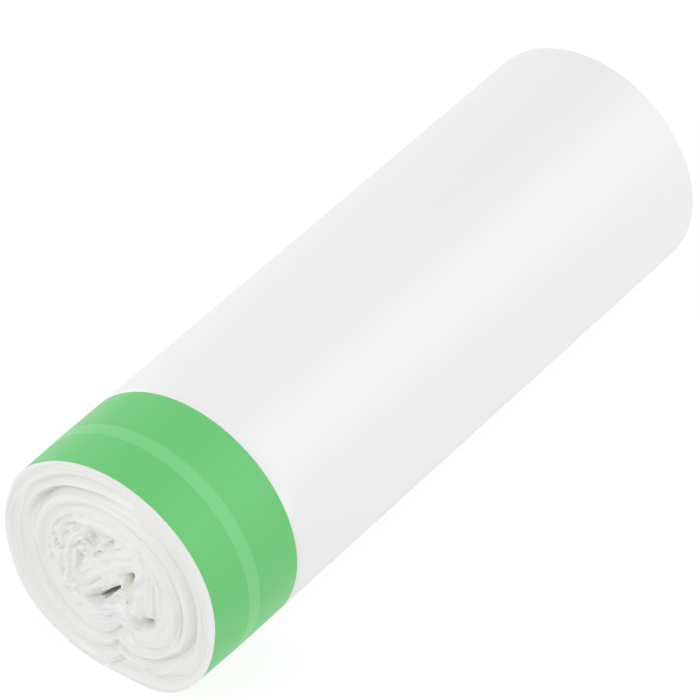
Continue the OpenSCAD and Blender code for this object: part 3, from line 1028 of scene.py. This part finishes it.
    def points(self) -> dict[str, np.ndarray]:
        """Lay the closed loop of points around the strip at every section.

        The loop runs along the mouth from the outer to the inner wall, along the inner wall
        to the far end, over that, and along the outer wall back to the mouth. Behind the
        mouth the heart swells a little, so that its folds stay shut.

        Returns:
            Points of shape (sections, loop, 3), and the strip's own coordinates and its share of
            painted shade for the material, each of shape (sections, loop).
        """
        rung = self.rungs()
        outer = rung.outer
        inner = rung.inner
        half = self.shape.half_length
        first = rung.wound < TURN
        first_places = first[..., None]
        thick = np.linalg.norm(outer - inner, axis=-1)
        w = np.linspace(0.0, 1.0, self.mouth_points)
        from_outer = thick * w
        mouth = outer + (inner - outer) * w[:, None]
        depth, shade = self.mouth_depths(rung, mouth, from_outer)
        mouth_x = depth - half
        side = (outer - inner) / thick[..., None]
        swell = self.swell * rung.heart
        # Inner wall, from the mouth to the far end
        front = mouth_x[:, -1:]
        inner_x = front + (half - self.far_inset - front) * np.array(self.inner_run)
        inner_swell = swell * ease((inner_x - front) / self.swell_depth)
        inner_wall = inner - side * inner_swell[..., None]
        # Far edge, back to the outer wall
        v = np.linspace(1.0, 0.0, self.far_points)
        lead = self.tail_thickness * self.lead_in(rung.wound - TURN)
        skin = self.polar(self.shape.outline(rung.angle) - lead, rung.angle)
        far_outer = np.where(first_places, skin, outer)
        far = far_outer + (inner - far_outer) * v[:, None]
        far_x = half - np.where(first, *self.far_round) * np.abs(2.0 * v - 1.0) ** 3
        far_x = far_x - ease((rung.wound - self.sink_from) / self.sink_over) * self.far_sink
        # Outer wall, from the far end back to the mouth, with the recess of the band
        depths = np.array([
            213.0, 180.0, 140.0, 100.0, 70.0, 50.0, 38.0, self.band_to + 0.12, self.band_to,
            28.0, 22.0, 18.0, 15.0, 12.0, 9.5, 7.5, 5.5, 4.0, 2.8, self.band_from + 0.9,
            self.band_from, self.band_from - 0.1,
        ])
        recess = np.where((depths >= self.band_from) & (depths <= self.band_to), self.band_t, 0.0)
        skin = self.polar(self.shape.tucked(rung.angle, depths) - recess - lead, rung.angle)
        front = mouth_x[:, :1]
        order = self.least_step * np.arange(len(depths) + 1, 1, -1)
        outer_x = np.where(first, depths - half, np.maximum(depths - half, front + order))
        outer_swell = swell * ease((outer_x - front) / self.swell_depth)
        outer_wall = np.where(first_places, skin, outer) + side * outer_swell[..., None]
        x_parts = (mouth_x, inner_x, far_x, outer_x)
        loop_x = np.hstack(x_parts)
        loop = np.hstack([mouth, inner_wall, far, outer_wall])
        none = [np.zeros(part.shape) for part in x_parts]
        full = [np.ones(part.shape) for part in x_parts]
        return {
            "points": self.shape.place(loop_x, loop[..., 0], loop[..., 1]),
            "strip_along": rung.length + 0.0 * loop_x,
            "strip_across": np.hstack([from_outer, none[1], thick * v, none[3]]),
            "edge_share": np.hstack([full[0], none[1], full[2], none[3]]),
            # Share of painted shade: by depth on the mouth, full on the inner wall, none elsewhere
            "painted_fold_shade": np.hstack([shade, full[1], none[2], none[3]]),
        }

    def build(self, film: WhiteFilm) -> bpy.types.Object:
        """Make the strip's mesh and dress it.

        Args:
            film: Finish of the bags.

        Returns:
            The piece that stands for the CAD roll.
        """
        made = self.points()
        points = made.pop("points")
        sections, size = points.shape[:2]
        piece = make_piece(
            "wound_bags", points.reshape(-1, 3), skin_faces(sections, size, closed=False),
            film.material(), "bag_roll",
        )
        for name, values in made.items():
            add_layer(piece, name, values)
        return piece


@dataclass
class EndBand:
    """The green band around the mouth end, and the paler stripe that runs around it."""

    shape: RollShape
    start: float = 0.6
    end: float = 33.6
    thickness: float = 0.095
    stripe_start: float = 13.6
    stripe_end: float = 17.9
    stripe_thickness: float = 0.05
    edge_round: float = 0.04
    steps: int = 288

    def ring(self, profile: np.ndarray) -> np.ndarray:
        """Carry a closed profile around the roll.

        Args:
            profile: Rows of depth behind the mouth and depth under the outline.

        Returns:
            Points of shape (steps, rows, 3).
        """
        # Backwards around the roll, so that the faces point outwards
        angle = np.linspace(TURN, 0.0, self.steps, endpoint=False)[:, None]
        radius = self.shape.tucked(angle, profile[:, 0]) - profile[:, 1]
        turn = np.radians(angle)
        x = -self.shape.half_length + profile[:, 0] + 0.0 * angle
        return self.shape.place(x, radius * np.cos(turn), radius * np.sin(turn))

    def band_profile(self) -> np.ndarray:
        """Draw the band's section with its softly rounded edges and the seat of the stripe.

        Returns:
            Rows of depth behind the mouth and depth under the outline.
        """
        r = self.edge_round
        seat = self.stripe_thickness
        top = [
            (self.start, r), (self.start + r, 0.0), (self.start + 3 * r, 0.0), (1.5, 0.0),
            (2.8, 0.0), (4.0, 0.0), (5.5, 0.0), (7.5, 0.0), (9.5, 0.0), (12.0, 0.0),
            (self.stripe_start - 0.1, 0.0), (self.stripe_start, 0.0), (self.stripe_start, seat),
            (15.0, seat), (self.stripe_end, seat), (self.stripe_end, 0.0),
            (self.stripe_end + 0.1, 0.0), (22.0, 0.0), (28.0, 0.0), (self.end - 3 * r, 0.0),
            (self.end - r, 0.0), (self.end, r),
        ]
        back = [(x, self.thickness) for x in (self.end, 22.0, 12.0, 6.0, 3.0, self.start)]
        return np.array(top + back)

    def stripe_profile(self) -> np.ndarray:
        """Draw the stripe's section, a flat strip with slightly rounded edges.

        Returns:
            Rows of depth behind the mouth and depth under the outline.
        """
        t = self.stripe_thickness
        a = self.stripe_start
        b = self.stripe_end
        return np.array([
            (a, 0.01), (a + 0.02, 0.0), (a + 0.1, 0.0), (15.0, 0.0), (b - 0.1, 0.0),
            (b - 0.02, 0.0), (b, 0.01), (b, t), (15.0, t), (a, t),
        ])

    def build(self, film: TintedFilm, stripe_film: TintedFilm) -> list[bpy.types.Object]:
        """Make the band and its stripe and dress them.

        Args:
            film: Finish of the band.
            stripe_film: Finish of the stripe.

        Returns:
            The two pieces.
        """
        made = []
        for name, profile, finish, slot, node in (
            ("green_band", self.band_profile(), film, Slot.BAND_FILM, "end_band"),
            ("pale_stripe", self.stripe_profile(), stripe_film, Slot.STRIPE_FILM, "band_stripe"),
        ):
            points = self.ring(profile)
            faces = skin_faces(points.shape[0], points.shape[1], closed=True)
            flat = points.reshape(-1, 3)
            made.append(make_piece(name, flat, faces, finish.material(), node))
        return made


@dataclass
class Studio:
    """Plain white floor, soft daylight studio and the photograph's camera."""

    azimuth: float = -53.765
    elevation: float = 39.688
    distance: float = 1479.2
    target: tuple[float, float, float] = (-3.56, 0.0, 37.03)
    lens: float = 288.86
    world_light: float = 0.62
    floor_half: float = 3.0
    floor_glow: float = 0.9
    floor_seen: float = 0.14
    floor_white: float = 0.95

    def camera(self) -> bpy.types.Object:
        """Set up the camera at the photograph's viewing angle.

        Returns:
            The camera object.
        """
        a = math.radians(self.azimuth)
        e = math.radians(self.elevation)
        back = Vector((math.sin(a) * math.cos(e), -math.cos(a) * math.cos(e), math.sin(e)))
        side = back.cross(Vector((0.0, 0.0, -1.0))).normalized()
        up = back.cross(side)
        data = bpy.data.cameras.new("photo_camera")
        data.sensor_fit = "HORIZONTAL"
        data.sensor_width = 36.0
        data.lens = self.lens
        data.clip_start = 0.05
        data.clip_end = 20.0
        camera = bpy.data.objects.new("photo_camera", data)
        place = (Vector(self.target) + back * self.distance) * MM
        turn = Matrix((side, up, back)).transposed().to_4x4()
        camera.matrix_world = Matrix.Translation(place) @ turn
        bpy.context.scene.collection.objects.link(camera)
        bpy.context.scene.camera = camera
        return camera

    def lamp(self, name: str, place: tuple[float, float, float], size: float, power: float) -> None:
        """Hang a square soft lamp that faces the roll.

        Args:
            name: Name of the lamp.
            place: Where it hangs, in metres.
            size: Side of its square, in metres.
            power: Power in watts.
        """
        data = bpy.data.lights.new(name, "AREA")
        data.size = size
        data.energy = power
        lamp = bpy.data.objects.new(name, data)
        lamp.location = place
        lamp.rotation_euler = Vector(place).to_track_quat("Z", "Y").to_euler()
        bpy.context.scene.collection.objects.link(lamp)

    def seen_share(self, tree: bpy.types.NodeTree) -> bpy.types.NodeSocket:
        """Whether a ray comes from the camera, a reflection or clear material.

        Args:
            tree: Node tree to add to.

        Returns:
            A socket that is 1 for such rays and 0 for others.
        """
        rays = add_node(tree, "LightPath").outputs
        first = add_node(
            tree, "Math", rays["Is Camera Ray"], rays["Is Glossy Ray"], operation="MAXIMUM"
        ).outputs["Value"]
        return add_node(
            tree, "Math", first, rays["Is Transmission Ray"], operation="MAXIMUM"
        ).outputs["Value"]

    def world(self) -> None:
        """White surroundings: plain white where they are seen, softer as light."""
        world = bpy.data.worlds.new("white_studio")
        bpy.context.scene.world = world
        tree = empty_tree(world)
        strength = add_node(
            tree, "MapRange", Value=self.seen_share(tree), To_Min=self.world_light, To_Max=1.0
        ).outputs["Result"]
        back = add_node(tree, "Background", Color=grey(1.0), Strength=strength)
        add_node(tree, "OutputWorld", Surface=back.outputs["Background"])

    def floor(self) -> bpy.types.Object:
        """Lay the white floor that keeps a faint shadow.

        Returns:
            The floor.
        """
        # Matt white paper, which glows a little where it is seen
        made = bpy.data.materials.new("white_floor")
        tree = empty_tree(made)
        seen = self.seen_share(tree)
        glow = add_node(tree, "Emission", Color=grey(1.0), Strength=self.floor_glow)
        seen_matte = add_node(tree, "BsdfDiffuse", Color=grey(self.floor_seen))
        together = add_node(
            tree, "AddShader", glow.outputs["Emission"], seen_matte.outputs["BSDF"]
        ).outputs["Shader"]
        matte = add_node(tree, "BsdfDiffuse", Color=grey(self.floor_white)).outputs["BSDF"]
        mixed = add_node(tree, "MixShader", seen, matte, together)
        add_node(tree, "OutputMaterial", Surface=mixed.outputs["Shader"])
        h = self.floor_half
        corners = [(-h, -h, 0.0), (h, -h, 0.0), (h, h, 0.0), (-h, h, 0.0)]
        mesh = bpy.data.meshes.new("floor")
        mesh.from_pydata(corners, [], [(0, 1, 2, 3)])
        mesh.materials.append(made)
        floor = bpy.data.objects.new("floor", mesh)
        bpy.context.scene.collection.objects.link(floor)
        return floor

    def build(self) -> None:
        """Set the view, the surroundings, the floor and the lamps."""
        bpy.context.scene.view_settings.view_transform = "Standard"
        self.camera()
        self.world()
        self.floor()
        # Softbox that the body mirrors towards the camera, lamp over the mouth, lamp behind
        self.lamp("front_softbox", (0.87, -0.78, 0.77), 0.95, 3.5)
        self.lamp("mouth_lamp", (-0.9, 0.2, 0.9), 0.3, 3.55)
        self.lamp("side_lamp", (0.1, -1.25, 0.22), 0.35, 1.5)
        self.lamp("back_lamp", (0.1, 1.2, 0.3), 0.4, 2.4)


def main() -> None:
    """Build the roll, its band and the studio."""
    logging.basicConfig(level=logging.INFO, format="%(name)s: %(message)s")
    shape = RollShape()
    WoundStrip(shape).build(WhiteFilm())
    EndBand(shape).build(
        TintedFilm("green_film_satin", "#6bcd75", "#74d07e"),
        TintedFilm("pale_green_film_satin", "#7bd585", "#82d98b"),
    )
    Studio().build()


if __name__ == "__main__":
    main()
